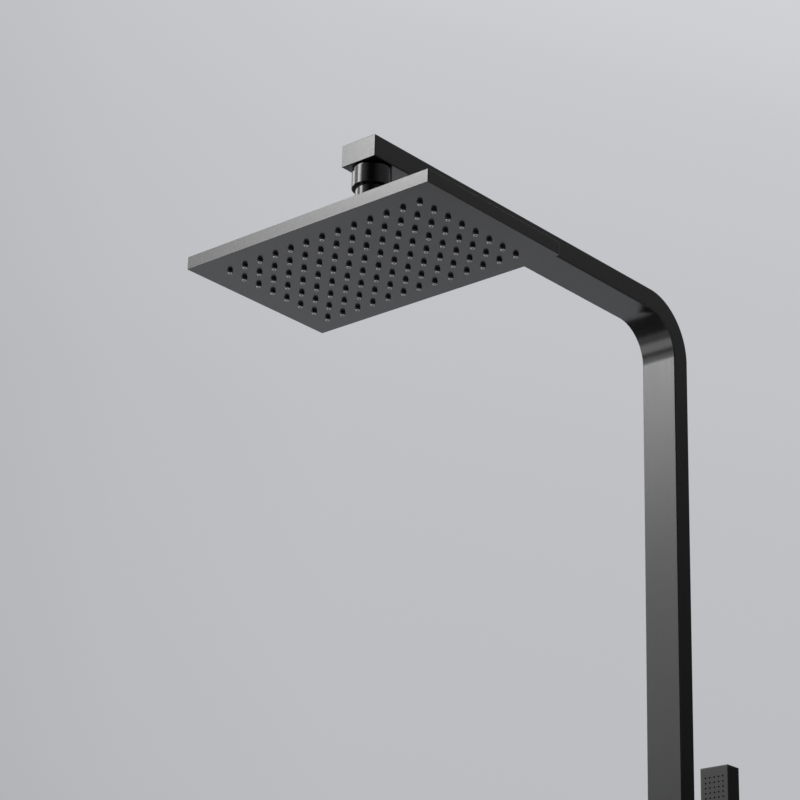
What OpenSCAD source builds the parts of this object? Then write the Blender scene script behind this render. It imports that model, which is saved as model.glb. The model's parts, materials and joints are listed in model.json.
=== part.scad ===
// Wall-mounted rain shower set: bent rectangular tube, swivelling rain head, diverter and stick handset.
// Millimetres. The origin is the centre of the wall inlet, on the wall. Up is +Z, into the wall is +Y.

/* [Tube] */
// Width of the rectangular tube, side to side
tube_w = 31; // [26:0.5:40]
// Thickness of the rectangular tube, front to back
tube_t = 17; // [15:0.5:24]
// Wall thickness of the tube
tube_wall = 1.5; // [1:0.1:2]
// Radius of the tube's long edges
tube_edge_r = 0.9; // [0.6:0.1:2]
// Radius of the bend, on its inner side
bend_inner_r = 31; // [20:1:60]
// Height of the arm's top face above the wall inlet
arm_top_z = 951; // [850:1:1200]
// Distance from the wall to the axis of the swivel
head_reach = 401.5; // [320:0.5:500]
// Length of arm in front of the swivel's axis
arm_overrun = 15; // [14.5:0.5:40]
// Gap between the wall and the back of the tube
wall_gap = 41; // [38:1:60]

/* [Rain head] */
// Width of the rain head, side to side
head_w = 220; // [180:1:300]
// Depth of the rain head, front to back
head_d = 140; // [120:1:220]
// Height of the rain head's sides
head_h = 9.6; // [9:0.1:14]
// Distance from the swivel's axis back to the middle of the rain head
head_offset = 2.5; // [0:0.1:6]
// Radius of the rain head's edges
head_edge_r = 0.3; // [0.2:0.1:1.2]
// Thickness of the head's face and sides
tray_t = 1.4; // [1.2:0.1:2]
// Thickness of the head's back cover
cover_t = 1.6; // [1.4:0.1:2.5]
// Distance between nozzles, both ways
nozzle_pitch = 14.5; // [13:0.1:18]
// Least distance from the outer nozzles to the sides
nozzle_margin = 18; // [16:0.5:22]
// Diameter of a nozzle
nozzle_d = 4; // [3:0.1:5]
// How far a nozzle stands out of the face
nozzle_out = 2.5; // [1:0.1:6]
// Thickness of the nozzle mat
mat_t = 1.5; // [1:0.1:2]
// Thickness of the gasket between mat and cover
gasket_t = 1.2; // [0.8:0.1:1.6]

/* [Swivel] */
// Diameter of the collar under the arm
collar_d = 28.2; // [27:0.1:29.5]
// Height of the collar
collar_h = 16; // [12:0.1:20]
// Diameter of the neck below the collar
neck_d = 23; // [22.6:0.1:24]
// Height of the neck that shows below the collar
neck_h = 17.1; // [14.5:0.1:24]
// Diameter of the swivel's ball
ball_d = 18; // [17.6:0.1:18.2]
// Thickness of the lower seat round the ball
seat_t = 0.9; // [0.7:0.05:1]
// Diameter of the ball's stem
stem_d = 10; // [9.6:0.1:10.4]
// Distance from the ball's centre to the flange of its stem
stem_l = 14; // [13:0.1:18]
// Height of the threaded boss on the head's cover
boss_h = 15.4; // [14:0.1:20]
// Greatest tilt of the head, each way
head_tilt = 12; // [5:1:12]

/* [Wall bracket] */
// Height of the bracket above the wall inlet
bracket_z = 480; // [440:1:520]
// Height of the sleeve round the tube
sleeve_h = 26; // [20:1:40]
// Wall thickness of the sleeve
sleeve_wall = 4; // [3.5:0.1:6]
// Side of the square rosette
rosette_w = 50; // [46:1:70]
// Distance between the two wall screws
wall_screw_pitch = 30; // [28:1:32]
// Diameter of the holes for the wall screws
wall_hole_d = 4.5; // [3.5:0.1:5]

/* [Diverter] */
// Side of the square diverter block
block_w = 44; // [42:1:60]
// Height of the block above the inlet's axis
block_up = 32; // [30:1:45]
// Height of the block below the inlet's axis
block_down = 38; // [34:1:50]
// Depth of the tube's seat in the block
tube_seat = 16; // [10:0.5:16]
// Diameter of the inlet's round rosette
inlet_rosette_d = 62; // [54:1:80]
// Side of the square knob
knob_w = 32; // [30:1:42]
// Length of the knob, front to back
knob_l = 20; // [16:1:30]
// Diameter of the turning core
spool_d = 22; // [20:0.5:23]

/* [Handset and holder] */
// Width of the handset
handset_w = 24.5; // [24:0.1:30]
// Thickness of the handset
handset_t = 14.4; // [14:0.1:18]
// Length of the handset's body
handset_l = 215; // [180:1:260]
// Wall thickness of the handset's body
handset_wall = 2; // [1.6:0.1:2.2]
// Distance between spray holes, both ways
spray_pitch = 3.8; // [3.6:0.05:4.2]
// Number of spray holes across the handset
spray_cols = 5; // [1:1:5]
// Number of spray holes along the handset
spray_rows = 16; // [4:1:24]
// Diameter of a spray hole
spray_hole_d = 1.4; // [1:0.1:2]
// Height of the holder's pivot above the wall inlet
slider_z = 366; // [340:1:390]
// Width of the slider
slider_w = 42; // [41:0.5:50]
// Height of the slider
slider_h = 44; // [36:1:50]
// Wall thickness of the holder's cup
cup_wall = 3.3; // [3:0.1:5]
// Height of the cup above its floor
cup_h = 28; // [22:1:40]
// Diameter of the pivot bolt's shank
pivot_d = 5; // [4:0.1:6]

/* [Fits] */
// Gap all round between fixed pieces that fit together
fit_gap = 0.1; // [0.05:0.01:0.15]
// Radial gap of a bearing surface
bearing_gap = 0.05; // [0.02:0.01:0.08]
// Gap round a piece that slides
slide_gap = 0.3; // [0.25:0.01:0.4]

/* [Hidden] */
$fn = 64;

// Colours
black = "#1b1b1c";
rubber = "#0d0d0e";
brass = "#b08d4a";
steel = "#9a9c9e";
plastic = "#d9d8d2";

// A cut runs past the face that it opens by this much
past = 1;
// Radius of a half-inch pipe thread, drawn as a plain cylinder, and of the hole that takes it
thread_r = 10.45;
thread_hole_r = thread_r + fit_gap;
// Radius of the waterway through nipples and passages
water_r = 6;
// Length of a half-inch thread
thread_l = 12;
// Radius of a flange or collar next to a thread
flange_r = 12;
// Thickness of such a flange
flange_t = 2;

// Places of the tube
tube_y = -(wall_gap + tube_t / 2);
tube_front_y = tube_y - tube_t / 2;
arm_z = arm_top_z - tube_t / 2;
arm_under_z = arm_top_z - tube_t;
bend_r = bend_inner_r + tube_t / 2;
arm_end_y = -(head_reach + arm_overrun);
cap_t = 1.5;
nipple_flange_r = 11.5;
cap_plug_l = min(4, arm_overrun - nipple_flange_r - cap_t - 4 * fit_gap);

// Places of the swivel, from the arm down
nipple_l = 6;
washer_t = 2;
collar_z = arm_under_z - collar_h;
nipple_z = arm_under_z - nipple_l;
neck_top_z = nipple_z - washer_t;
neck_z = collar_z - neck_h;
ball_r = ball_d / 2;
seat_in_r = ball_r + bearing_gap;
seat_out_r = seat_in_r + seat_t;
socket_r = seat_out_r + bearing_gap;
// Angles up from the ball's lowest point: the mouth clears the stem at full tilt both ways at once
angle_gap = 2.34;
mouth_angle = asin(stem_d / ball_d) + acos(pow(cos(head_tilt), 2)) + angle_gap;
seat_low_angle = mouth_angle + head_tilt + angle_gap;
seat_high_angle = 88;
ball_z = neck_z + socket_r * cos(mouth_angle);
upper_seat_low = seat_out_r * sin(seat_high_angle + head_tilt + angle_gap - 90) + fit_gap;
upper_seat_high = 8;
upper_seat_bore_r = water_r + 0.5;
stem_wall = 1.75;
retainer_t = 4;
ball_flange_t = 5;
flange_z = ball_z - stem_l;
head_top_z = flange_z - ball_flange_t - boss_h;
head_z = head_top_z - head_h;
boss_r = 15;

// Inside of the head
cols = floor((head_w - 2 * nozzle_margin) / nozzle_pitch) + 1;
rows = floor((head_d - 2 * nozzle_margin) / nozzle_pitch) + 1;
hole_gap = 0.25;
nozzle_tip_r = 0.65;
nozzle_chamfer = 0.35;
nozzle_tip_t = 1;
// The nozzle's tip is smaller by this much, all round
nozzle_taper = 0.25;
well_w = head_w - 2 * tray_t;
well_d = head_d - 2 * tray_t;
rim_w = 3;
mat_top_z = tray_t + mat_t;
cover_under_z = head_h - cover_t;
post_r = 3;
screw_r = 1.25;
screw_head_r = 2.6;
screw_head_t = 1.4;
screw_l = 5;
screw_socket_r = 1;
// Screw posts stand between four nozzles, so their columns are half a pitch off
post_xs = [(cols - 2) / 2, cols % 2 == 1 ? 3 / 2 : 2];
post_y = (rows - 2) / 2;

// Places of the wall bracket
sleeve_w = tube_w + 2 * (fit_gap + sleeve_wall);
sleeve_d = tube_t + 2 * (fit_gap + sleeve_wall);
sleeve_back_y = tube_y + sleeve_d / 2;
post_w = 20;
stub_w = 12;
stub_l = 20;
plate_t = 4;
plate_r = 21;
rosette_t = 8;
rosette_wall = 1.5;
grub_r = 2;
grub_l = 3.6;

// Places of the diverter
block_front_y = tube_y - block_w / 2;
block_back_y = tube_y + block_w / 2;
block_edge_r = 1;
tube_foot_z = block_up - tube_seat;
seal_t = 1.5;
inlet_boss_r = 15;
inlet_depth = 15;
filter_t = 1;
filter_lip = 0.6;
filter_r = thread_hole_r - filter_lip;
inlet_rosette_t = 7;
spool_behind = 16;
spool_back_y = tube_y + spool_behind;
retainer_l = 6;
spool_front_y = block_front_y + retainer_l;
spool_l = spool_back_y - spool_front_y - bearing_gap;
spool_grip_share = 0.7;
spool_grip_l = knob_l * spool_grip_share;
spool_port_r = 5;
spool_stem_r = 4;
spool_wall = 4;
groove_w = 2;
groove_deep = 1.3;
retainer_lip = 1;
retainer_r = spool_d / 2 + retainer_lip;
knob_gap = 1;
knob_edge_r = 1.2;
knob_screw_l = 7.2;
outlet_root_l = 10;
outlet_root_r = 8;
outlet_bore_r = 5;
valve_l = 9;
valve_wall = 1.5;
valve_floor_t = 2;
valve_hole_r = 0.8;
valve_hole_x = 2;

// Places of the slider, the holder and the handset
pivot_boss_r = 8;
pivot_boss_l = 3;
friction_t = 0.8;
cup_boss_l = 3.7;
cup_left_x = slider_w / 2 + pivot_boss_l + friction_t + cup_boss_l;
cup_floor_t = 4;
cup_drop = 10;
cup_floor_z = slider_z - cup_drop;
cup_in_w = handset_w + 2 * slide_gap;
cup_w = cup_in_w + 2 * cup_wall;
cup_d = handset_t + slide_gap + cup_wall;
cup_edge_r = 0.8;
foot_neck_r = 8.5;
foot_neck_l = cup_floor_t + slide_gap;
cup_slot_r = foot_neck_r + 2 * slide_gap;
handset_x = cup_left_x + cup_w / 2;
handset_y = tube_front_y + handset_t / 2;
pivot_y = tube_front_y + cup_d / 2;
bolt_head_r = 4.4;
bolt_head_t = 2.2;
bolt_sunk = 0.4;
bolt_socket_r = 1.5;
bolt_end_x = cup_left_x + cup_wall - bolt_sunk;
bush_t = 1.5;
bush_in_w = tube_w + 2 * slide_gap;
bush_in_d = tube_t + 2 * slide_gap;
bush_w = bush_in_w + 2 * bush_t;
bush_d = bush_in_d + 2 * bush_t;
bush_inset = 1;
slider_wall = 5.5;
slider_d = bush_d + 2 * (fit_gap + slider_wall);
lock_r = 9;
lock_l = 12;
lock_shaft_r = 3;
pad_r = 5;

// Inside of the handset
handset_edge_r = 0.7;
handset_z = cup_floor_z;
handset_in_w = handset_w - 2 * handset_wall;
handset_in_d = handset_t - 2 * handset_wall;
handset_top_t = 2.5;
first_row = 8;
strip_t = 1.5;
strip_edge = 3;
strip_w = handset_in_w - 2 * (handset_edge_r + fit_gap);
strip_l = (spray_rows - 1) * spray_pitch + 2 * strip_edge;
strip_z = handset_l - first_row + strip_edge - strip_l;
foot_l = 14;
foot_bore_r = 4;
limiter_t = 3;
limiter_hole_r = 0.6;
seal_deep = 1;
foot_w = handset_in_w - 2 * fit_gap;
foot_d = handset_in_d - 2 * fit_gap;

// Rectangle with rounded corners, round the origin
module rounded_rect(w, h, r) {
    square([w - 2 * r, h], center = true);
    square([w, h - 2 * r], center = true);
    for (sx = [-1, 1], sy = [-1, 1])
        translate([sx * (w / 2 - r), sy * (h / 2 - r)]) circle(r);
}

// Block round the origin, with all its edges rounded
module rounded_block(w, d, h, r) {
    intersection() {
        linear_extrude(h, center = true) rounded_rect(w, d, r);
        rotate([90, 0, 0]) linear_extrude(d, center = true) rounded_rect(w, h, r);
        rotate([90, 0, 90]) linear_extrude(w, center = true) rounded_rect(d, h, r);
    }
}

// Plain ring or disc, standing on the origin
module ring(r_out, r_in, h) {
    difference() {
        cylinder(r = r_out, h = h);
        translate([0, 0, -past]) cylinder(r = r_in, h = h + 2 * past);
    }
}

// Holes of a round screen: one in the middle, with rings of six and twelve round it
module screen_holes(r, pitch) {
    for (ring_n = [0 : 2]) let (count = max(1, 6 * ring_n))
        for (n = [0 : count - 1]) rotate(n * 360 / count)
            translate([pitch * ring_n, 0, -past]) cylinder(r = r, h = 4 * past, $fn = 24);
}

// Turns a piece drawn along Z so that it runs along Y, towards the wall
module along_y() {
    rotate([-90, 0, 0]) children();
}

// The way of the tube: up the riser, round the bend and along the arm
module tube_way(w, t, r, foot_z, end_y) {
    translate([0, tube_y, foot_z])
        linear_extrude(arm_z - bend_r - foot_z) rounded_rect(w, t, r);
    translate([0, tube_y - bend_r, arm_z - bend_r]) rotate([90, 0, 90])
        rotate_extrude(angle = 90) translate([bend_r, 0]) rounded_rect(t, w, r);
    translate([0, tube_y - bend_r, arm_z]) rotate([90, 0, 0])
        linear_extrude(tube_y - bend_r - end_y) rounded_rect(w, t, r);
}

module riser_tube() {
    in_w = tube_w - 2 * tube_wall;
    in_t = tube_t - 2 * tube_wall;
    color(black) difference() {
        tube_way(tube_w, tube_t, tube_edge_r, tube_foot_z, arm_end_y + cap_t);
        tube_way(in_w, in_t, tube_edge_r / 2, tube_foot_z - past, arm_end_y + cap_t - past);
        translate([0, -head_reach, arm_under_z - past])
            cylinder(r = thread_hole_r, h = tube_wall + 2 * past);
    }
}

module arm_end_cap() {
    plug_w = tube_w - 2 * (tube_wall + fit_gap);
    plug_t = tube_t - 2 * (tube_wall + fit_gap);
    color(black) translate([0, arm_end_y, arm_z]) rotate([-90, 0, 0]) {
        linear_extrude(cap_t) rounded_rect(tube_w, tube_t, tube_edge_r);
        translate([0, 0, cap_t]) linear_extrude(cap_plug_l)
            rounded_rect(plug_w, plug_t, tube_edge_r / 2);
    }
}

// Everything of the swivel is drawn from its axis
module at_swivel(z) {
    translate([0, -head_reach, z]) children();
}

module arm_outlet_nipple() {
    color(brass) at_swivel(nipple_z) difference() {
        union() {
            cylinder(r = thread_r, h = nipple_l + tube_wall);
            translate([0, 0, nipple_l + tube_wall]) cylinder(r = nipple_flange_r, h = flange_t);
        }
        translate([0, 0, -past]) cylinder(r = water_r, h = nipple_l + tube_wall + flange_t + 2 * past);
    }
}

module swivel_collar() {
    chamfer = 0.4;
    r = collar_d / 2;
    color(black) at_swivel(collar_z) difference() {
        rotate_extrude() polygon([
            [0, 0], [r - chamfer, 0], [r, chamfer],
            [r, collar_h - chamfer], [r - chamfer, collar_h], [0, collar_h]
        ]);
        translate([0, 0, -past]) cylinder(r = thread_hole_r, h = collar_h + 2 * past);
        translate([0, 0, -past])
            cylinder(r = neck_d / 2 + fit_gap, h = neck_top_z - collar_z + fit_gap + past);
    }
}

module filter_washer() {
    screen_t = 0.6;
    hole_r = 0.6;
    hole_pitch = 1.9;
    color(rubber) at_swivel(neck_top_z) difference() {
        cylinder(r = thread_r - fit_gap, h = washer_t);
        translate([0, 0, screen_t]) cylinder(r = water_r, h = washer_t);
        screen_holes(hole_r, hole_pitch);
    }
}

module swivel_neck() {
    r = neck_d / 2;
    chamfer = 0.4;
    up = neck_top_z - neck_z;
    color(black) at_swivel(neck_z) difference() {
        rotate_extrude() polygon([[0, 0], [r - chamfer, 0], [r, chamfer], [r, up], [0, up]]);
        translate([0, 0, ball_z - neck_z]) sphere(r = socket_r);
        translate([0, 0, ball_z - neck_z]) cylinder(r = socket_r, h = up);
    }
}

module seat_retainer() {
    slot_w = 2;
    slot_deep = 1.5;
    color(brass) at_swivel(ball_z + upper_seat_high + bearing_gap) difference() {
        ring(socket_r - fit_gap, water_r, retainer_t);
        translate([0, 0, retainer_t]) cube([2 * socket_r, slot_w, 2 * slot_deep], center = true);
    }
}

module upper_seat() {
    color(plastic) at_swivel(ball_z) difference() {
        translate([0, 0, upper_seat_low])
            cylinder(r = socket_r - bearing_gap, h = upper_seat_high - upper_seat_low);
        sphere(r = seat_in_r);
        cylinder(r = upper_seat_bore_r, h = upper_seat_high + past);
    }
}

// A zone of a thick spherical shell, between two angles up from the bottom pole
module lower_seat() {
    low = -seat_out_r * cos(seat_low_angle);
    high = -seat_out_r * cos(seat_high_angle);
    color(plastic) at_swivel(ball_z) difference() {
        intersection() {
            sphere(r = seat_out_r);
            translate([0, 0, low]) cylinder(r = socket_r + past, h = high - low);
        }
        sphere(r = seat_in_r);
    }
}

module swivel_ball() {
    stem_r = stem_d / 2;
    bore_r = stem_r - stem_wall;
    length = stem_l + ball_flange_t + thread_l;
    color(black) at_swivel(ball_z) difference() {
        union() {
            sphere(r = ball_r);
            translate([0, 0, -stem_l]) cylinder(r = stem_r, h = stem_l);
            translate([0, 0, -stem_l - ball_flange_t]) cylinder(r = flange_r, h = ball_flange_t, $fn = 6);
            translate([0, 0, -length]) cylinder(r = thread_r, h = thread_l);
        }
        translate([0, 0, -length - past]) cylinder(r = bore_r, h = length + ball_d);
    }
}

// Everything of the rain head is drawn from the middle of its underside
module at_head() {
    translate([0, head_offset - head_reach, head_z]) children();
}

// Puts its children at every nozzle
module each_nozzle() {
    for (i = [0 : cols - 1], j = [0 : rows - 1])
        translate([(i - (cols - 1) / 2) * nozzle_pitch, (j - (rows - 1) / 2) * nozzle_pitch, 0])
            children();
}

// Puts its children at every screw post
module each_post() {
    for (x = post_xs, sx = [-1, 1], sy = [-1, 1])
        translate([sx * x * nozzle_pitch, sy * post_y * nozzle_pitch, 0]) children();
}

module head_face_tray() {
    color(black) at_head() difference() {
        union() {
            difference() {
                translate([0, 0, head_h / 2]) rounded_block(head_w, head_d, head_h, head_edge_r);
                translate([0, 0, tray_t]) linear_extrude(head_h) square([well_w, well_d], center = true);
            }
            each_post() translate([0, 0, tray_t]) cylinder(r = post_r, h = cover_under_z - tray_t);
        }
        each_nozzle() translate([0, 0, -past])
            cylinder(r = nozzle_d / 2 + hole_gap, h = tray_t + 2 * past);
        each_post() translate([0, 0, cover_under_z - screw_l]) cylinder(r = screw_r, h = screw_l + past);
    }
}

// One nozzle: a short cone with a chamfered tip, open to the chamber above the mat
module nozzle() {
    r = nozzle_d / 2;
    tip_r = r - nozzle_taper;
    bore_end = nozzle_tip_t - nozzle_out;
    rotate_extrude($fn = 32) polygon([
        [nozzle_tip_r, -nozzle_out], [tip_r - nozzle_chamfer, -nozzle_out],
        [tip_r, nozzle_chamfer - nozzle_out], [r, 0],
        [r, mat_top_z], [r / 2, mat_top_z], [r / 2, bore_end], [nozzle_tip_r, bore_end]
    ]);
}

module nozzle_mat() {
    color(rubber) at_head() {
        difference() {
            translate([0, 0, tray_t]) linear_extrude(mat_t)
                square([well_w - 2 * fit_gap, well_d - 2 * fit_gap], center = true);
            each_nozzle() cylinder(r = nozzle_d / 4, h = head_h);
            each_post() cylinder(r = post_r + hole_gap, h = head_h);
        }
        each_nozzle() nozzle();
    }
}

// A flat frame that lies against the inside of the tray's sides
module rim(z, h) {
    translate([0, 0, z]) linear_extrude(h) difference() {
        square([well_w - 2 * fit_gap, well_d - 2 * fit_gap], center = true);
        square([well_w - 2 * rim_w, well_d - 2 * rim_w], center = true);
    }
}

module head_gasket() {
    color(rubber) at_head() rim(mat_top_z, gasket_t);
}

module head_back_cover() {
    plate_w = well_w - 2 * fit_gap;
    plate_d = well_d - 2 * fit_gap;
    color(black) at_head() difference() {
        union() {
            translate([0, 0, cover_under_z]) linear_extrude(cover_t)
                square([plate_w, plate_d], center = true);
            rim(mat_top_z + gasket_t, cover_under_z - mat_top_z - gasket_t);
            translate([0, -head_offset, cover_under_z]) cylinder(r = boss_r, h = boss_h + cover_t);
        }
        translate([0, -head_offset, head_h + boss_h - thread_l - past])
            cylinder(r = thread_hole_r, h = thread_l + 2 * past);
        translate([0, -head_offset, 0]) cylinder(r = water_r, h = head_h + boss_h);
        each_post() {
            translate([0, 0, mat_top_z]) cylinder(r = screw_r + hole_gap, h = head_h);
            translate([0, 0, head_h - screw_head_t])
                cylinder(r1 = screw_r + hole_gap, r2 = screw_head_r + hole_gap, h = screw_head_t);
        }
    }
}

module cover_screws() {
    shank_r = screw_r - fit_gap;
    shank_z = cover_under_z - screw_l + fit_gap;
    color(steel) at_head() each_post() difference() {
        rotate_extrude() polygon([
            [0, shank_z], [shank_r, shank_z],
            [shank_r, head_h - screw_head_t], [screw_head_r, head_h], [0, head_h]
        ]);
        translate([0, 0, head_h - screw_head_t / 2]) cylinder(r = screw_socket_r, h = head_h, $fn = 6);
    }
}

// Everything of the bracket is drawn from its height on the tube's axis
module at_bracket() {
    translate([0, tube_y, bracket_z]) children();
}

module bracket_sleeve() {
    post_l = sleeve_wall - plate_t - sleeve_back_y;
    stub_top_y = -plate_t - stub_l;
    color(black) difference() {
        at_bracket() union() {
            rounded_block(sleeve_w, sleeve_d, sleeve_h, tube_edge_r);
            translate([0, sleeve_d / 2 + post_l / 2 - sleeve_wall, 0]) rotate([90, 0, 0])
                linear_extrude(post_l, center = true) rounded_rect(post_w, post_w, tube_edge_r);
        }
        at_bracket() linear_extrude(sleeve_h + 2 * past, center = true)
            rounded_rect(tube_w + 2 * fit_gap, tube_t + 2 * fit_gap, tube_edge_r);
        translate([0, stub_top_y - fit_gap, bracket_z]) along_y() linear_extrude(2 * stub_l)
            square(stub_w + 2 * fit_gap, center = true);
        translate([-sleeve_w, tube_y, bracket_z]) rotate([0, 90, 0])
            cylinder(r = grub_r + fit_gap, h = sleeve_w);
        translate([0, -plate_t - stub_l / 2, bracket_z - post_w])
            cylinder(r = grub_r + fit_gap, h = post_w);
    }
}

module bracket_wall_plate() {
    color(steel) difference() {
        union() {
            translate([0, 0, bracket_z]) rotate([90, 0, 0]) cylinder(r = plate_r, h = plate_t);
            translate([0, -plate_t, bracket_z]) rotate([90, 0, 0]) linear_extrude(stub_l)
                square(stub_w, center = true);
        }
        for (s = [-1, 1]) translate([0, past, bracket_z + s * wall_screw_pitch / 2]) rotate([90, 0, 0])
            cylinder(r = wall_hole_d / 2, h = plate_t + 2 * past);
    }
}

module bracket_rosette() {
    in_w = rosette_w - 2 * rosette_wall;
    hole_w = post_w + 2 * fit_gap;
    color(black) translate([0, 0, bracket_z]) rotate([90, 0, 0]) difference() {
        linear_extrude(rosette_t) rounded_rect(rosette_w, rosette_w, tube_edge_r);
        translate([0, 0, -past]) linear_extrude(rosette_t - rosette_wall + past)
            square(in_w, center = true);
        linear_extrude(rosette_t + past) square(hole_w, center = true);
    }
}

// Grub screw along Z from the origin, with its hexagonal socket at the far end
module grub_screw(r, l) {
    difference() {
        cylinder(r = r, h = l);
        translate([0, 0, l / 2]) cylinder(r = r / 2, h = l, $fn = 6);
    }
}

module bracket_grub_screws() {
    color(steel) {
        translate([-tube_w / 2, tube_y, bracket_z]) rotate([0, -90, 0]) grub_screw(grub_r, grub_l);
        translate([0, -plate_t - stub_l / 2, bracket_z - stub_w / 2]) rotate([180, 0, 0])
            grub_screw(grub_r, grub_l);
    }
}

module diverter_body() {
    spool_bore_l = spool_back_y - block_front_y + past;
    outlet_z = -block_down;
    color(black) difference() {
        union() {
            translate([0, tube_y, (block_up - block_down) / 2])
                rounded_block(block_w, block_w, block_up + block_down, block_edge_r);
            translate([0, block_back_y - past, 0]) along_y()
                cylinder(r = inlet_boss_r, h = past - block_back_y);
        }
        translate([0, tube_y, tube_foot_z - seal_t]) linear_extrude(block_up)
            rounded_rect(tube_w + 2 * fit_gap, tube_t + 2 * fit_gap, tube_edge_r);
        translate([0, tube_y, 0]) cylinder(r = spool_port_r, h = block_up);
        translate([0, tube_y, outlet_z - past]) cylinder(r = spool_port_r, h = block_down + past);
        translate([0, tube_y, outlet_z - past])
            cylinder(r = outlet_root_r + fit_gap, h = outlet_root_l + past);
        translate([0, block_front_y - past, 0]) along_y()
            cylinder(r = spool_d / 2 + bearing_gap, h = spool_bore_l);
        translate([0, block_front_y - past, 0]) along_y()
            cylinder(r = retainer_r + fit_gap, h = spool_front_y - block_front_y + past);
        translate([0, spool_back_y - past, 0]) along_y() cylinder(r = water_r, h = past - spool_back_y);
        translate([0, -inlet_depth, 0]) along_y() cylinder(r = thread_hole_r, h = inlet_depth + past);
        translate([0, -inlet_depth - filter_t, 0]) along_y() cylinder(r = filter_r, h = inlet_depth);
    }
}

module inlet_rosette() {
    r = inlet_rosette_d / 2;
    color(black) rotate([90, 0, 0]) difference() {
        cylinder(r = r, h = inlet_rosette_t);
        translate([0, 0, -past])
            cylinder(r = r - rosette_wall, h = inlet_rosette_t - rosette_wall + past);
        cylinder(r = inlet_boss_r + fit_gap, h = inlet_rosette_t + past);
    }
}

module inlet_filter() {
    hole_r = 0.8;
    hole_pitch = 2.4;
    color(steel) translate([0, -inlet_depth - filter_t, 0]) along_y() difference() {
        cylinder(r = filter_r - fit_gap, h = filter_t);
        screen_holes(hole_r, hole_pitch);
    }
}

module riser_seal() {
    edge_w = 1.5 * tube_wall;
    color(rubber) translate([0, tube_y, tube_foot_z - seal_t]) linear_extrude(seal_t) difference() {
        rounded_rect(tube_w, tube_t, tube_edge_r);
        square([tube_w - 2 * edge_w, tube_t - 2 * edge_w], center = true);
    }
}

// Core drawn along Y: its open back end takes the water, one port faces up and one to the side
module diverter_spool() {
    r = spool_d / 2;
    port_y = tube_y - spool_front_y;
    stem_l = retainer_l + spool_grip_l;
    color(brass) translate([0, spool_front_y, 0]) along_y() difference() {
        union() {
            cylinder(r = r, h = spool_l);
            translate([0, 0, -stem_l]) cylinder(r = spool_stem_r, h = stem_l);
        }
        translate([0, 0, spool_wall]) cylinder(r = water_r, h = spool_l);
        translate([0, 0, port_y]) rotate([90, 0, 0]) cylinder(r = spool_port_r, h = r + past);
        translate([0, 0, port_y]) rotate([0, -90, 0]) cylinder(r = spool_port_r, h = r + past);
        each_groove() ring(r + past, r - groove_deep, groove_w);
    }
}

// Puts its children at the start of each O-ring groove of the core
module each_groove() {
    for (y = [groove_w, spool_l - 2 * groove_w]) translate([0, 0, y]) children();
}

module spool_orings() {
    ring_r = (groove_deep - fit_gap) / 2;
    middle_r = spool_d / 2 - groove_deep / 2;
    color(rubber) translate([0, spool_front_y, 0]) along_y() each_groove() translate([0, 0, groove_w / 2])
        rotate_extrude() translate([middle_r, 0]) circle(r = ring_r, $fn = 24);
}

module spool_retainer() {
    color(brass) translate([0, block_front_y, 0]) along_y()
        ring(retainer_r, spool_stem_r + bearing_gap, retainer_l - bearing_gap);
}

module diverter_knob() {
    y = block_front_y - knob_gap - knob_l / 2;
    mark_w = 1.2;
    mark_l = 7;
    mark_deep = 0.5;
    color(black) difference() {
        translate([0, y, 0]) rounded_block(knob_w, knob_l, knob_w, knob_edge_r);
        translate([0, y, 0]) along_y() cylinder(r = spool_stem_r + fit_gap, h = knob_l);
        translate([0, y, 0]) rotate([90, 0, 0])
            cylinder(r = spool_stem_r + fit_gap, h = spool_grip_l - knob_l / 2 - knob_gap + fit_gap);
        translate([0, y - knob_l / 2, knob_w / 2 - mark_l])
            cube([mark_w, 2 * mark_deep, mark_l], center = true);
        translate([0, y + knob_l / 4, -knob_w]) cylinder(r = grub_r + fit_gap, h = knob_w);
    }
}

module knob_screw() {
    y = block_front_y - knob_gap - knob_l / 4;
    color(steel) translate([0, y, -spool_stem_r]) rotate([180, 0, 0]) grub_screw(grub_r, knob_screw_l);
}

module hose_outlet() {
    total = outlet_root_l + flange_t + thread_l;
    color(black) translate([0, tube_y, -block_down]) difference() {
        union() {
            cylinder(r = outlet_root_r, h = outlet_root_l);
            translate([0, 0, -flange_t]) cylinder(r = flange_r, h = flange_t);
            translate([0, 0, -flange_t - thread_l]) cylinder(r = thread_r, h = thread_l);
        }
        translate([0, 0, -flange_t - thread_l - past]) cylinder(r = outlet_bore_r, h = total + 2 * past);
    }
}

module outlet_check_valve() {
    color(plastic) translate([0, tube_y, -block_down - valve_l / 2]) difference() {
        cylinder(r = outlet_bore_r - fit_gap, h = valve_l);
        translate([0, 0, valve_floor_t]) cylinder(r = outlet_bore_r - valve_wall, h = valve_l);
        for (a = [0 : 90 : 270]) rotate(a) translate([valve_hole_x, 0, -past])
            cylinder(r = valve_hole_r, h = valve_l);
    }
}

// Everything of the slider is drawn from its middle on the tube's axis
module at_slider() {
    translate([0, tube_y, slider_z]) children();
}

module slider_body() {
    color(black) difference() {
        union() {
            at_slider() rounded_block(slider_w, slider_d, slider_h, tube_edge_r);
            translate([slider_w / 2 - past, pivot_y, slider_z]) rotate([0, 90, 0])
                cylinder(r = pivot_boss_r, h = pivot_boss_l + past);
        }
        at_slider() linear_extrude(slider_h + 2 * past, center = true)
            rounded_rect(bush_w + 2 * fit_gap, bush_d + 2 * fit_gap, tube_edge_r);
        translate([-slider_w, tube_y, slider_z]) rotate([0, 90, 0])
            cylinder(r = lock_shaft_r + bearing_gap, h = slider_w);
        translate([0, pivot_y, slider_z]) rotate([0, 90, 0])
            cylinder(r = pivot_d / 2 + bearing_gap, h = slider_w);
    }
}

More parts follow.
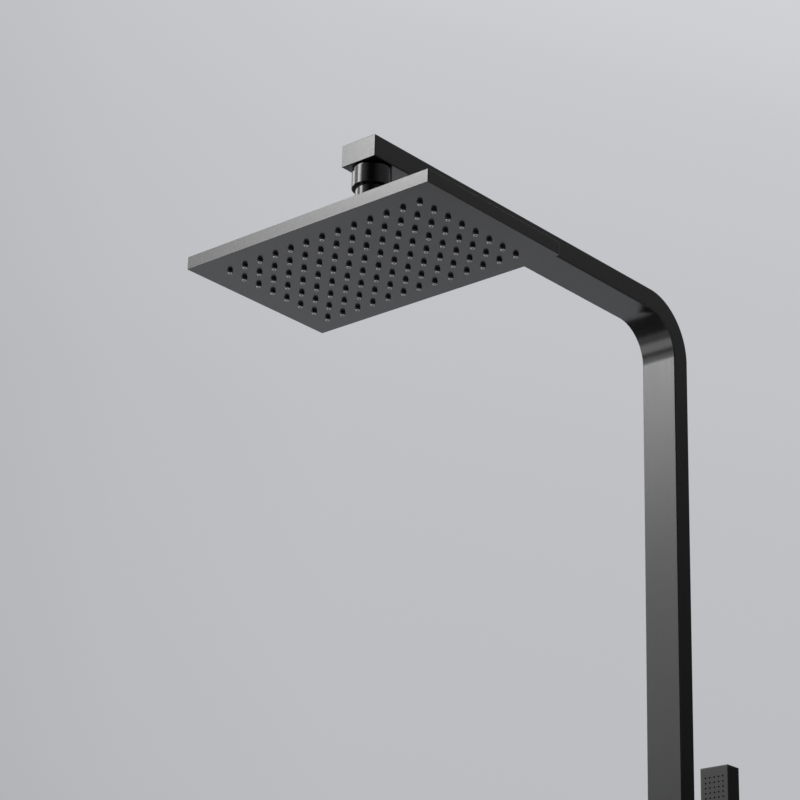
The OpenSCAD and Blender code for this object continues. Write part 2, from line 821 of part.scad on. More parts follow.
module slider_bush() {
    color(plastic) at_slider() difference() {
        linear_extrude(slider_h - 2 * bush_inset, center = true) rounded_rect(bush_w, bush_d, tube_edge_r);
        linear_extrude(slider_h + 2 * past, center = true) rounded_rect(bush_in_w, bush_in_d, tube_edge_r);
        translate([-slider_w, 0, 0]) rotate([0, 90, 0]) cylinder(r = pad_r + fit_gap, h = slider_w);
    }
}

module slider_lock() {
    shaft_end_x = -bush_w / 2 - fit_gap;
    face_x = -slider_w / 2 - slide_gap;
    grip_n = 12;
    grip_r = 0.8;
    grip_z = 2;
    color(black) translate([face_x, tube_y, slider_z]) rotate([0, -90, 0]) {
        difference() {
            cylinder(r = lock_r, h = lock_l);
            for (n = [0 : grip_n - 1]) rotate(n * 360 / grip_n)
                translate([lock_r, 0, grip_z]) cylinder(r = grip_r, h = lock_l);
        }
        translate([0, 0, face_x - shaft_end_x]) cylinder(r = lock_shaft_r, h = shaft_end_x - face_x);
    }
}

module brake_pad() {
    pad_x = -tube_w / 2 - slide_gap;
    color(plastic) translate([pad_x, tube_y, slider_z]) rotate([0, -90, 0])
        cylinder(r = pad_r, h = bush_t);
}

module pivot_bolt() {
    start_x = bush_w / 2 + 2 * fit_gap;
    length = bolt_end_x - start_x;
    color(steel) translate([start_x, pivot_y, slider_z]) rotate([0, 90, 0]) difference() {
        union() {
            cylinder(r = pivot_d / 2, h = length);
            translate([0, 0, length - bolt_head_t]) cylinder(r = bolt_head_r, h = bolt_head_t);
        }
        translate([0, 0, length - bolt_head_t / 2]) cylinder(r = bolt_socket_r, h = bolt_head_t, $fn = 6);
    }
}

module friction_washer() {
    inset = 1;
    color(plastic) translate([slider_w / 2 + pivot_boss_l, pivot_y, slider_z]) rotate([0, 90, 0])
        ring(pivot_boss_r - inset, pivot_d / 2 + bearing_gap, friction_t);
}

// Open channel: the handset goes in from the front, and its neck goes into the slot of the floor
module handset_holder() {
    height = cup_floor_t + cup_h;
    color(black) difference() {
        union() {
            translate([handset_x, pivot_y, cup_floor_z - cup_floor_t]) linear_extrude(height)
                rounded_rect(cup_w, cup_d, cup_edge_r);
            translate([cup_left_x - cup_boss_l, pivot_y, slider_z]) rotate([0, 90, 0])
                cylinder(r = pivot_boss_r, h = cup_boss_l + past);
        }
        translate([handset_x - cup_in_w / 2, tube_front_y - past, cup_floor_z])
            cube([cup_in_w, handset_t + slide_gap + past, height]);
        translate([handset_x, handset_y, cup_floor_z - cup_floor_t - past]) {
            cylinder(r = cup_slot_r, h = cup_floor_t + 2 * past);
            translate([-cup_slot_r, -cup_d, 0]) cube([2 * cup_slot_r, cup_d, cup_floor_t + 2 * past]);
        }
        translate([cup_left_x - cup_boss_l - past, pivot_y, slider_z]) rotate([0, 90, 0])
            cylinder(r = pivot_d / 2 + bearing_gap, h = cup_boss_l + cup_wall + 2 * past);
        translate([bolt_end_x - bolt_head_t, pivot_y, slider_z]) rotate([0, 90, 0])
            cylinder(r = bolt_head_r + slide_gap, h = bolt_head_t + past);
    }
}

// Everything of the handset is drawn from the middle of its lower end
module at_handset(z) {
    translate([handset_x, handset_y, handset_z + z]) children();
}

// Puts its children at every spray hole, facing the front
module each_spray_hole() {
    for (i = [0 : spray_cols - 1], j = [0 : spray_rows - 1])
        at_handset(handset_l - first_row - j * spray_pitch)
            translate([(i - (spray_cols - 1) / 2) * spray_pitch, -handset_t / 2, 0]) children();
}

module handset_body() {
    color(black) difference() {
        at_handset(handset_l / 2) rounded_block(handset_w, handset_t, handset_l, handset_edge_r);
        at_handset(-past) linear_extrude(handset_l - handset_top_t + past)
            rounded_rect(handset_in_w, handset_in_d, handset_edge_r);
        each_spray_hole() translate([0, -past, 0]) along_y()
            cylinder(r = spray_hole_d / 2, h = handset_wall + 2 * past, $fn = 16);
    }
}

module handset_nozzle_strip() {
    sunk = 0.2;
    color(rubber) {
        at_handset(strip_z) translate([-strip_w / 2, -handset_in_d / 2, 0])
            cube([strip_w, strip_t, strip_l]);
        each_spray_hole() translate([0, sunk, 0]) along_y()
            cylinder(r = spray_hole_d / 2 - fit_gap, h = handset_wall - sunk + strip_t / 2, $fn = 16);
    }
}

module handset_manifold() {
    depth = handset_in_d - strip_t - 2 * fit_gap;
    wall = 2;
    middle_y = handset_in_d / 2 - fit_gap - depth / 2;
    color(plastic) at_handset(strip_z) translate([0, middle_y, 0]) difference() {
        linear_extrude(strip_l) square([strip_w, depth], center = true);
        translate([wall - strip_w / 2, -depth / 2 - past, -past])
            cube([strip_w - 2 * wall, depth - wall + past, strip_l - wall + past]);
    }
}

module handset_inlet() {
    length = foot_neck_l + thread_l;
    color(black) at_handset(0) difference() {
        union() {
            linear_extrude(foot_l) rounded_rect(foot_w, foot_d, handset_edge_r);
            translate([0, 0, -length]) cylinder(r = thread_r, h = thread_l);
            translate([0, 0, -foot_neck_l]) cylinder(r = foot_neck_r, h = foot_neck_l);
        }
        translate([0, 0, -length - past]) cylinder(r = foot_bore_r, h = length + foot_l + 2 * past);
        translate([0, 0, foot_l / 2]) linear_extrude(groove_w) difference() {
            square([foot_w + past, foot_d + past], center = true);
            rounded_rect(foot_w - 2 * seal_deep, foot_d - 2 * seal_deep, handset_edge_r);
        }
    }
}

module handset_seal() {
    color(rubber) at_handset(foot_l / 2 + fit_gap) linear_extrude(groove_w - 2 * fit_gap) difference() {
        rounded_rect(foot_w + fit_gap, foot_d + fit_gap, handset_edge_r);
        rounded_rect(foot_w + fit_gap - 2 * seal_deep, foot_d + fit_gap - 2 * seal_deep, handset_edge_r);
    }
}

module handset_flow_limiter() {
    color(plastic) at_handset(past - foot_neck_l - thread_l) difference() {
        cylinder(r = foot_bore_r - fit_gap, h = limiter_t);
        for (a = [0 : 60 : 300]) rotate(a)
            translate([foot_bore_r / 2, 0, -past]) cylinder(r = limiter_hole_r, h = limiter_t + 2 * past);
    }
}

riser_tube();
arm_end_cap();
arm_outlet_nipple();
swivel_collar();
filter_washer();
swivel_neck();
seat_retainer();
upper_seat();
lower_seat();
swivel_ball();
head_face_tray();
nozzle_mat();
head_gasket();
head_back_cover();
cover_screws();
bracket_sleeve();
bracket_wall_plate();
bracket_rosette();
bracket_grub_screws();
diverter_body();
inlet_rosette();
inlet_filter();
riser_seal();
diverter_spool();
spool_orings();
spool_retainer();
diverter_knob();
knob_screw();
hose_outlet();
outlet_check_valve();
slider_body();
slider_bush();
slider_lock();
brake_pad();
pivot_bolt();
friction_washer();
handset_holder();
handset_body();
handset_nozzle_strip();
handset_manifold();
handset_inlet();
handset_seal();
handset_flow_limiter();
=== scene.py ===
import json
import math

import bmesh
import bpy
from mathutils import Matrix, Vector


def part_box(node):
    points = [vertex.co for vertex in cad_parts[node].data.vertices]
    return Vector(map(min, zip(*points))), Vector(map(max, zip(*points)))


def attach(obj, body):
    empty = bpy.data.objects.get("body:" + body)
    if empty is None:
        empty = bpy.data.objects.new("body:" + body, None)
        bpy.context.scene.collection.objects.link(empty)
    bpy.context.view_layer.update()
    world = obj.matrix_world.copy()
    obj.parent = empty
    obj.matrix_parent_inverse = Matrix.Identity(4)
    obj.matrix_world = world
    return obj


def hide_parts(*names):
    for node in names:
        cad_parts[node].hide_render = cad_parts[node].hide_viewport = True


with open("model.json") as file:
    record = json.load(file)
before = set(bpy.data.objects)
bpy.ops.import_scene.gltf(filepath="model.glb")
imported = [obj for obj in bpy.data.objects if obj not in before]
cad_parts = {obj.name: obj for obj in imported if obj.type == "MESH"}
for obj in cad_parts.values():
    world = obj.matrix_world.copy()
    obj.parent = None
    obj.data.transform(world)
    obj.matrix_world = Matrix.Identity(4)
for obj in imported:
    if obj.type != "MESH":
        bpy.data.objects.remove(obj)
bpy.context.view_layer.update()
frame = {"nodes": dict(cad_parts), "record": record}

# One millimetre in the frame's metres, and the distance in metres under which vertices are merged
MM, MERGE = 0.001, 2e-6

# Two axes, as places in a vector
Y, Z = 1, 2

# Sizes of the CAD model in millimetres, which the fine pieces follow
GAP = 0.1
TUBE_W, TUBE_T, TUBE_WALL, TUBE_EDGE = 31.0, 17.0, 1.5, 0.9
TUBE_Y, TUBE_FOOT_Z, ARM_Z, BEND_R = -49.5, 16.0, 942.5, 39.5
ARM_END_Y, CAP_T, CAP_PLUG = -416.5, 1.5, 1.6
SWIVEL_Y, ARM_UNDER_Z = -401.5, 934.0
COLLAR_R, COLLAR_Z, COLLAR_H = 14.1, 918.0, 16.0
NECK_R, NECK_Z, NECK_L = 11.5, 900.9, 25.1
BALL_Z, SOCKET_R = 906.919, 10.0
THREAD_R, THREAD_ROOT_R, THREAD_PITCH, THREAD_L = 10.45, 9.3, 1.814, 12.0
HEAD_Y, HEAD_Z = -399.0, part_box("head_face_tray")[0].z / MM
NOZZLE_PITCH, NOZZLE_COLS, NOZZLE_ROWS = 14.5, 13, 8
NOZZLE_R, NOZZLE_OUT, NOZZLE_BORE = 2.0, 2.5, 0.75
HEAD_W, HEAD_D, HEAD_H, TRAY_T, COVER_UNDER = 220.0, 140.0, 9.6, 1.4, 8.0
POST_OUTER_X, POST_INNER_X, POST_OUT_Y, POST_R, SCREW_BORE_R = 79.75, 21.75, 43.5, 3.0, 1.25
MAT_W, MAT_D, MAT_LOW, MAT_HIGH = 217.0, 137.0, 1.4, 2.9
BRACKET_Z, ROSETTE_W, ROSETTE_T, POST_W = 480.0, 50.0, 8.0, 20.0
INLET_ROSETTE_R, INLET_ROSETTE_T, INLET_BOSS_R = 31.0, 7.0, 15.0
BLOCK_DOWN, FLANGE_R, FLANGE_T, SHOULDER_R = 38.0, 12.0, 2.0, 8.5
SLIDER_Z = 366.0
HANDSET_X, HANDSET_Y, HANDSET_Z, HANDSET_L = 44.35, -50.8, 356.0, 215.0
HANDSET_IN_W, HANDSET_IN_D, HANDSET_WALL, HANDSET_EDGE = 20.5, 10.4, 2.0, 0.7
SPRAY_PITCH, SPRAY_COLS, SPRAY_ROWS, SPRAY_R = 3.8, 5, 16, 0.7
FIRST_ROW, STRIP_T, STRIP_EDGE = 8.0, 1.5, 3.0
FOOT_L, FOOT_NECK_R, FOOT_NECK_L, FOOT_BORE_R = 14.0, 8.5, 4.3, 4.0


# Modelling helpers

def select_nothing():
    """Leaves edit mode and selects no object."""
    if bpy.context.object and bpy.context.object.mode != "OBJECT":
        bpy.ops.object.mode_set(mode="OBJECT")
    bpy.ops.object.select_all(action="DESELECT")


def choose(piece):
    """Makes a piece the active one and the only one selected."""
    select_nothing()
    piece.select_set(True)
    bpy.context.view_layer.objects.active = piece


def edit(piece):
    """Opens a piece for editing."""
    choose(piece)
    bpy.ops.object.mode_set(mode="EDIT")
    bpy.ops.mesh.select_mode(type="VERT")


def done():
    """Ends the editing."""
    bpy.ops.object.mode_set(mode="OBJECT")


def settle(piece):
    """Puts a new primitive's place and size into its mesh and opens it for editing, all selected."""
    bpy.ops.object.transform_apply(location=True, rotation=True, scale=True)
    edit(piece)
    bpy.ops.mesh.select_all(action="SELECT")


def pick_faces(test):
    """Selects the faces that pass the test, which gets the middle in mm and the normal."""
    bpy.ops.mesh.select_mode(type="FACE")
    bpy.ops.mesh.select_all(action="DESELECT")
    mesh = bmesh.from_edit_mesh(bpy.context.object.data)
    for face in mesh.faces:
        if test(face.calc_center_median() / MM, face.normal):
            face.select_set(True)
    mesh.select_flush_mode()
    bmesh.update_edit_mesh(bpy.context.object.data)


def pick_edges(test):
    """Selects the edges that pass the test, which gets the two ends in mm."""
    bpy.ops.mesh.select_mode(type="EDGE")
    bpy.ops.mesh.select_all(action="DESELECT")
    mesh = bmesh.from_edit_mesh(bpy.context.object.data)
    for edge in mesh.edges:
        if test(edge.verts[0].co / MM, edge.verts[1].co / MM):
            edge.select_set(True)
    mesh.select_flush_mode()
    bmesh.update_edit_mesh(bpy.context.object.data)


def facing(axis, sign):
    """A test for faces that look along an axis, or against it."""
    return lambda middle, normal: normal[axis] * sign > 0.9


def along(axis):
    """A test for edges that run along an axis."""
    return lambda a, b: (a - b).length - abs(a[axis] - b[axis]) < 0.001


def pull(x, y, z):
    """Extrudes what is selected by a step in mm."""
    bpy.ops.mesh.extrude_region_move(TRANSFORM_OT_translate={"value": (x * MM, y * MM, z * MM)})


def round_off(radius, segments=4, affect="EDGES"):
    """Rounds what is selected."""
    bpy.ops.mesh.bevel(offset=radius * MM, segments=segments, affect=affect)


def merge_doubles():
    """Merges vertices in one place and leaves all selected."""
    bpy.ops.mesh.select_all(action="SELECT")
    bpy.ops.mesh.remove_doubles(threshold=MERGE)
    bpy.ops.mesh.select_all(action="SELECT")


def close_up():
    """Merges the doubles of a closed shape and turns its faces outwards."""
    bpy.ops.mesh.select_mode(type="VERT")
    merge_doubles()
    bpy.ops.mesh.normals_make_consistent(inside=False)
    done()


def block(name, low, high):
    """A box between two corners in mm, left open for editing."""
    select_nothing()
    middle = [(a + b) / 2 * MM for a, b in zip(low, high)]
    bpy.ops.mesh.primitive_cube_add(size=1, location=middle)
    piece = bpy.context.object
    piece.name = name
    piece.scale = [(b - a) * MM for a, b in zip(low, high)]
    settle(piece)
    return piece


def plain_box(name, low, high):
    """A box between two corners in mm that needs no more shaping."""
    piece = block(name, low, high)
    done()
    return piece


def rod(name, radius, low, high, sides=64):
    """A round rod between two places in mm."""
    select_nothing()
    low, high = Vector(low), Vector(high)
    bpy.ops.mesh.primitive_cylinder_add(
        vertices=sides, radius=radius * MM, depth=(high - low).length * MM, location=(low + high) / 2 * MM,
        rotation=(high - low).to_track_quat("Z", "Y").to_euler())
    bpy.context.object.name = name
    bpy.ops.object.transform_apply(location=True, rotation=True, scale=True)
    return bpy.context.object


def draw(name, points):
    """A line through points in mm: a plane is merged to one point, which is pulled from each to the next."""
    select_nothing()
    bpy.ops.mesh.primitive_plane_add(size=MM, location=Vector(points[0]) * MM)
    piece = bpy.context.object
    piece.name = name
    settle(piece)
    bpy.ops.mesh.merge(type="CENTER")
    for last, place in zip(points, points[1:]):
        pull(*(Vector(place) - Vector(last)))
    return piece


def turned(name, centre, axis, profile, steps, closed=True):
    """A turned piece: its profile, (radius, height) in mm from the centre, is spun round the axis."""
    axis = Vector(axis)
    side = axis.orthogonal().normalized()
    points = [Vector(centre) + side * radius + axis * height for radius, height in profile]
    piece = draw(name, points + points[:1] if closed else points)
    bpy.ops.mesh.select_all(action="SELECT")
    bpy.ops.mesh.spin(steps=steps, angle=2 * math.pi, center=Vector(centre) * MM, axis=axis)
    close_up()
    return piece


def arc(middle_r, middle_h, radius, start, end, steps):
    """Points of an arc of a profile, angles in degrees up from the outward direction."""
    angles = [math.radians(start + (end - start) * n / steps) for n in range(steps + 1)]
    return [(middle_r + radius * math.cos(a), middle_h + radius * math.sin(a)) for a in angles]


def apply_modifier(piece, name, kind, **settings):
    """Adds a modifier with its settings and applies it."""
    choose(piece)
    modifier = piece.modifiers.new(name, kind)
    for key, value in settings.items():
        setattr(modifier, key, value)
    bpy.ops.object.modifier_apply(modifier=name)


def row(piece, count, x=0.0, y=0.0, z=0.0):
    """Repeats a piece by steps in mm."""
    apply_modifier(piece, "row", "ARRAY", count=count, use_relative_offset=False, use_constant_offset=True,
                   constant_offset_displace=(x * MM, y * MM, z * MM))


def join(pieces):
    """Makes one piece of several, under the first one's name."""
    select_nothing()
    for piece in pieces:
        piece.select_set(True)
    bpy.context.view_layer.objects.active = pieces[0]
    bpy.ops.object.join()


def combine(piece, tool, operation="DIFFERENCE"):
    """Cuts the tool's shape out of the piece, or adds it, and removes the tool."""
    apply_modifier(piece, "cut", "BOOLEAN", operation=operation, object=tool, solver="EXACT")
    bpy.data.objects.remove(tool)


def soften(piece, width=0.25, segments=2, angle=40):
    """Rounds all the sharp edges of a piece a little."""
    apply_modifier(piece, "soft edges", "BEVEL", width=width * MM, segments=segments, limit_method="ANGLE",
                   angle_limit=math.radians(angle), use_clamp_overlap=True)


def smooth(piece, angle=32):
    """Shades the piece smooth up to an angle, with its flat faces kept flat."""
    choose(piece)
    bpy.ops.object.shade_smooth_by_angle(angle=math.radians(angle))
    apply_modifier(piece, "flats", "WEIGHTED_NORMAL", keep_sharp=True, weight=100)


def finish_piece(piece, body, node, *finishes):
    """Gives a piece its finishes, and lets it ride on a body in place of a CAD node."""
    piece.data.materials.clear()
    for finish in finishes:
        piece.data.materials.append(finish)
    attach(piece, body)
    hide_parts(node)


# The tube, its end cap and the swivel

def make_tube_way(name, width, thickness, edge_r, past):
    """A rod up the riser, round the bend and along the arm, and past both the tube's ends by some mm."""
    foot_z, end_y = TUBE_FOOT_Z - past, ARM_END_Y + CAP_T - past
    bend_y, bend_z = TUBE_Y - BEND_R, ARM_Z - BEND_R
    select_nothing()
    bpy.ops.mesh.primitive_plane_add(size=1, location=(0, TUBE_Y * MM, foot_z * MM))
    piece = bpy.context.object
    piece.name = name
    piece.scale = (width * MM, thickness * MM, 1)
    settle(piece)
    round_off(edge_r, 6, "VERTICES")
    bpy.ops.mesh.select_all(action="SELECT")
    pull(0, 0, bend_z - foot_z)
    bpy.ops.mesh.spin(steps=48, angle=-math.pi / 2, center=(0, bend_y * MM, bend_z * MM), axis=(1, 0, 0))
    pull(0, end_y - bend_y, 0)
    close_up()
    return piece


def make_tube():
    tube = make_tube_way("riser_and_arm", TUBE_W, TUBE_T, TUBE_EDGE, 0)
    combine(tube, make_tube_way("inside", TUBE_W - 2 * TUBE_WALL, TUBE_T - 2 * TUBE_WALL, TUBE_EDGE / 2, 1))
    combine(tube, rod("hole", THREAD_R + GAP, (0, SWIVEL_Y, ARM_UNDER_Z - 1), (0, SWIVEL_Y, ARM_UNDER_Z + 3)))
    smooth(tube)
    finish_piece(tube, "column", "riser_tube", black_tube)


def make_end_cap():
    half_w, half_t, front_rim, back_rim, overlap = TUBE_W / 2, TUBE_T / 2, 0.42, 0.12, 0.5
    cap = block("arm_end", (-half_w, ARM_END_Y, ARM_Z - half_t), (half_w, ARM_END_Y + CAP_T, ARM_Z + half_t))
    pick_edges(along(Y))
    round_off(TUBE_EDGE, 6)
    pick_faces(facing(Y, -1))
    round_off(front_rim, 3)
    pick_faces(facing(Y, 1))
    round_off(back_rim, 2)
    close_up()
    half_w, half_t = half_w - TUBE_WALL - GAP, half_t - TUBE_WALL - GAP
    front_y, back_y = ARM_END_Y + CAP_T - overlap, ARM_END_Y + CAP_T + CAP_PLUG
    plug = block("plug", (-half_w, front_y, ARM_Z - half_t), (half_w, back_y, ARM_Z + half_t))
    pick_edges(along(Y))
    round_off(TUBE_EDGE / 2, 3)
    close_up()
    combine(cap, plug, "UNION")
    smooth(cap)
    finish_piece(cap, "column", "arm_end_cap", black_coat)


def make_collar():
    rim, upper_rim = 0.5, 2.0
    bore_r, counterbore_r, counterbore = THREAD_R + GAP, NECK_R + GAP, 8.1
    profile = [(counterbore_r, 0)]
    profile += arc(COLLAR_R - rim, rim, rim, -90, 0, 5)
    profile += arc(COLLAR_R - upper_rim, COLLAR_H - upper_rim, upper_rim, 0, 90, 8)
    profile += [(bore_r, COLLAR_H), (bore_r, counterbore), (counterbore_r, counterbore)]
    collar = turned("swivel_collar_turned", (0, SWIVEL_Y, COLLAR_Z), (0, 0, 1), profile, 96)
    smooth(collar)
    finish_piece(collar, "column", "swivel_collar", black_gloss)


def make_neck():
    rim = 0.6
    ball_up = BALL_Z - NECK_Z
    mouth_angle = -math.degrees(math.asin(ball_up / SOCKET_R))
    profile = arc(NECK_R - rim, rim, rim, -90, 0, 5) + [(NECK_R, NECK_L), (SOCKET_R, NECK_L)]
    profile += arc(0, ball_up, SOCKET_R, 0, mouth_angle, 8)
    neck = turned("swivel_neck_turned", (0, SWIVEL_Y, NECK_Z), (0, 0, 1), profile, 96)
    smooth(neck)
    finish_piece(neck, "column", "swivel_neck", black_gloss)


# The rain head's face and nozzles

def first_nozzle():
    """The corner nozzle's place on the face, in mm."""
    return -(NOZZLE_COLS - 1) / 2 * NOZZLE_PITCH, HEAD_Y - (NOZZLE_ROWS - 1) / 2 * NOZZLE_PITCH


def repeat_nozzles(piece):
    """Repeats a piece from the corner nozzle's place to all the others."""
    row(piece, NOZZLE_COLS, x=NOZZLE_PITCH)
    row(piece, NOZZLE_ROWS, y=NOZZLE_PITCH)


def screw_posts(radius, low, high):
    """Rods at the eight screw posts, between two heights over the face."""
    x, y = -POST_OUTER_X, HEAD_Y - POST_OUT_Y
    posts = rod("posts", radius, (x, y, HEAD_Z + low), (x, y, HEAD_Z + high), 32)
    row(posts, 2, x=POST_OUTER_X - POST_INNER_X)
    row(posts, 2, x=POST_OUTER_X + POST_INNER_X)
    row(posts, 2, y=2 * POST_OUT_Y)
    return posts


def make_head_tray():
    """The head's face and sides: a flat box with crisp edges, hollowed from behind, with 104 holes."""
    half_w, half_d, rim = HEAD_W / 2, HEAD_D / 2, 0.25
    post_overlap, screw_bore_l, hole_gap = 0.5, 5, 0.25
    tray = block("head_face", (-half_w, HEAD_Y - half_d, HEAD_Z), (half_w, HEAD_Y + half_d, HEAD_Z + HEAD_H))
    round_off(rim, 3)
    close_up()
    half_w, half_d = half_w - TRAY_T, half_d - TRAY_T
    low, high = HEAD_Z + TRAY_T, HEAD_Z + HEAD_H + 1
    combine(tray, plain_box("well", (-half_w, HEAD_Y - half_d, low), (half_w, HEAD_Y + half_d, high)))
    combine(tray, screw_posts(POST_R, TRAY_T - post_overlap, COVER_UNDER), "UNION")
    combine(tray, screw_posts(SCREW_BORE_R, COVER_UNDER - screw_bore_l, COVER_UNDER + 1))
    x, y = first_nozzle()
    holes = rod("holes", NOZZLE_R + hole_gap, (x, y, HEAD_Z - 1), (x, y, HEAD_Z + TRAY_T + 1), 20)
    repeat_nozzles(holes)
    combine(tray, holes)
    smooth(tray)
    finish_piece(tray, "rain_head", "head_face_tray", black_coat)


def make_nozzle_mat():
    """One nozzle is turned, its tip takes a paler grey as a painted highlight and painted reflection, and it
    is repeated over a sheet with bores.
    """
    # The rounding of the lip, the radius of the bulging side, and the side's lean at the lip in degrees
    lip, bulge, lean = 0.35, 6.0, 20
    root_high, bore_high, waterway_r = MAT_HIGH + 0.1, 1 - NOZZLE_OUT, NOZZLE_R / 2
    sheet_bore_r, post_hole_r, post_hole_high, sheet_edge = 1.6, POST_R + 0.25, 5, 0.15
    x, y = first_nozzle()
    profile = [(NOZZLE_BORE, -NOZZLE_OUT)]
    bulge_z = lip - NOZZLE_OUT + (bulge - lip) * math.sin(math.radians(lean))
    lip_r = NOZZLE_R - bulge + (bulge - lip) * math.cos(math.radians(lean))
    profile += arc(lip_r, lip - NOZZLE_OUT, lip, -90, -lean, 3)[:-1]
    profile += arc(NOZZLE_R - bulge, bulge_z, bulge, -lean, 0, 4)
    profile += [(NOZZLE_R, root_high), (waterway_r, root_high)]
    profile += [(waterway_r, bore_high), (NOZZLE_BORE, bore_high)]
    nozzle = turned("nozzle_mat_moulded", (x, y, HEAD_Z), (0, 0, 1), profile, 16)
    nozzle.data.materials.append(nozzle_side)
    nozzle.data.materials.append(nozzle_tip_painted_highlight)
    tip_top_z = HEAD_Z - NOZZLE_OUT + 0.2
    # The faces on the tip take the pale grey, a painted highlight standing in for the tips' reflection of the
    # floor and lamps
    edit(nozzle)
    pick_faces(lambda middle, normal: middle.z < tip_top_z and normal.z < -0.5)
    nozzle.active_material_index = 1
    bpy.ops.object.material_slot_assign()
    done()
    low, high = HEAD_Z + MAT_LOW, HEAD_Z + MAT_HIGH
    bores = rod("bores", sheet_bore_r, (x, y, low - 1), (x, y, high + 1), 16)
    repeat_nozzles(nozzle)
    repeat_nozzles(bores)
    half_w, half_d = MAT_W / 2, MAT_D / 2
    sheet = plain_box("sheet", (-half_w, HEAD_Y - half_d, low), (half_w, HEAD_Y + half_d, high))
    combine(sheet, bores)
    combine(sheet, screw_posts(post_hole_r, 0, post_hole_high))
    soften(sheet, sheet_edge)
    sheet.data.materials.clear()
    sheet.data.materials.append(nozzle_side)
    join([nozzle, sheet])
    smooth(nozzle, 40)
    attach(nozzle, "rain_head")
    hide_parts("nozzle_mat")


# Wall pieces

def make_bracket_rosette():
    half, wall, edge, rim = ROSETTE_W / 2, 1.5, 0.9, 0.7
    rosette = block("bracket_cover", (-half, -ROSETTE_T, BRACKET_Z - half), (half, 0, BRACKET_Z + half))
    pick_edges(along(Y))
    round_off(edge, 5)
    pick_faces(facing(Y, -1))
    round_off(rim, 5)
    close_up()
    for size, deep in ((half - wall, ROSETTE_T - wall), (POST_W / 2 + GAP, ROSETTE_T + 1)):
        combine(rosette, plain_box("hole", (-size, -deep, BRACKET_Z - size), (size, 1, BRACKET_Z + size)))
    smooth(rosette)
    finish_piece(rosette, "column", "bracket_rosette", black_coat)


def make_inlet_rosette():
    wall, rim, hole_rim, hole_r = 1.5, 1.2, 0.3, INLET_BOSS_R + GAP
    inner_r, inner_t = INLET_ROSETTE_R - wall, INLET_ROSETTE_T - wall
    profile = [(INLET_ROSETTE_R, 0)] + arc(INLET_ROSETTE_R - rim, INLET_ROSETTE_T - rim, rim, 0, 90, 6)
    profile += [(hole_r + hole_rim, INLET_ROSETTE_T), (hole_r, INLET_ROSETTE_T - hole_rim), (hole_r, inner_t)]
    profile += [(inner_r, inner_t), (inner_r, 0)]
    rosette = turned("inlet_cover", (0, 0, 0), (0, -1, 0), profile, 96)
    smooth(rosette)
    finish_piece(rosette, "column", "inlet_rosette", black_coat)


# Threaded pieces

def make_thread(name, x, y, top):
    """A solid screw thread that runs down from a height: its profile is screwed round the axis."""
    crest, flank, steps = 0.3, 0.6, 48
    points = [(x + THREAD_ROOT_R, y, 0), (x + THREAD_R, y, flank), (x + THREAD_R, y, flank + crest),
              (x + THREAD_ROOT_R, y, 2 * flank + crest), (x + THREAD_ROOT_R, y, THREAD_PITCH)]
    turns = math.ceil(THREAD_L / THREAD_PITCH) + 2
    start = top - THREAD_L - THREAD_PITCH
    thread = draw(name, [(a, b, c + start) for a, b, c in points])
    done()
    # The Screw modifier turns about the object's own axis
    thread.data.transform(Matrix.Translation((-x * MM, -y * MM, 0)))
    apply_modifier(thread, "thread", "SCREW", angle=2 * math.pi, screw_offset=THREAD_PITCH * MM,
                   iterations=turns, steps=steps, render_steps=steps, use_merge_vertices=False,
                   use_smooth_shade=False)
    thread.data.transform(Matrix.Translation((x * MM, y * MM, 0)))
    edit(thread)
    merge_doubles()
    for height, direction in ((top, 1), (top - THREAD_L, -1)):
        bpy.ops.mesh.select_all(action="SELECT")
        bpy.ops.mesh.bisect(plane_co=(0, 0, height * MM), plane_no=(0, 0, direction), use_fill=True,
                            clear_outer=True, threshold=1e-7)
    close_up()
    return thread


def make_hose_outlet():
    """The nipple below the block: a root in the block, a flange, and the hose's thread."""
    root_r, root_l, bore_r, rim, overlap = 8.0, 10.0, 5.0, 0.4, 1
    profile = [(0, root_l), (root_r - rim, root_l), (root_r, root_l - rim), (root_r, 0)]
    profile += [(FLANGE_R - rim, 0), (FLANGE_R, -rim)]
    profile += [(FLANGE_R, rim - FLANGE_T), (FLANGE_R - rim, -FLANGE_T)]
    profile += [(SHOULDER_R, -FLANGE_T), (SHOULDER_R, -FLANGE_T - overlap), (0, -FLANGE_T - overlap)]
    outlet = turned("hose_outlet_threaded", (0, TUBE_Y, -BLOCK_DOWN), (0, 0, 1), profile, 72, closed=False)
    top = -BLOCK_DOWN - FLANGE_T
    combine(outlet, make_thread("thread", 0, TUBE_Y, top), "UNION")
    low, high = top - THREAD_L - 1, root_l - BLOCK_DOWN + 1
    combine(outlet, rod("bore", bore_r, (0, TUBE_Y, low), (0, TUBE_Y, high)))
    smooth(outlet, 35)
    finish_piece(outlet, "column", "hose_outlet", black_gloss)


# Handset

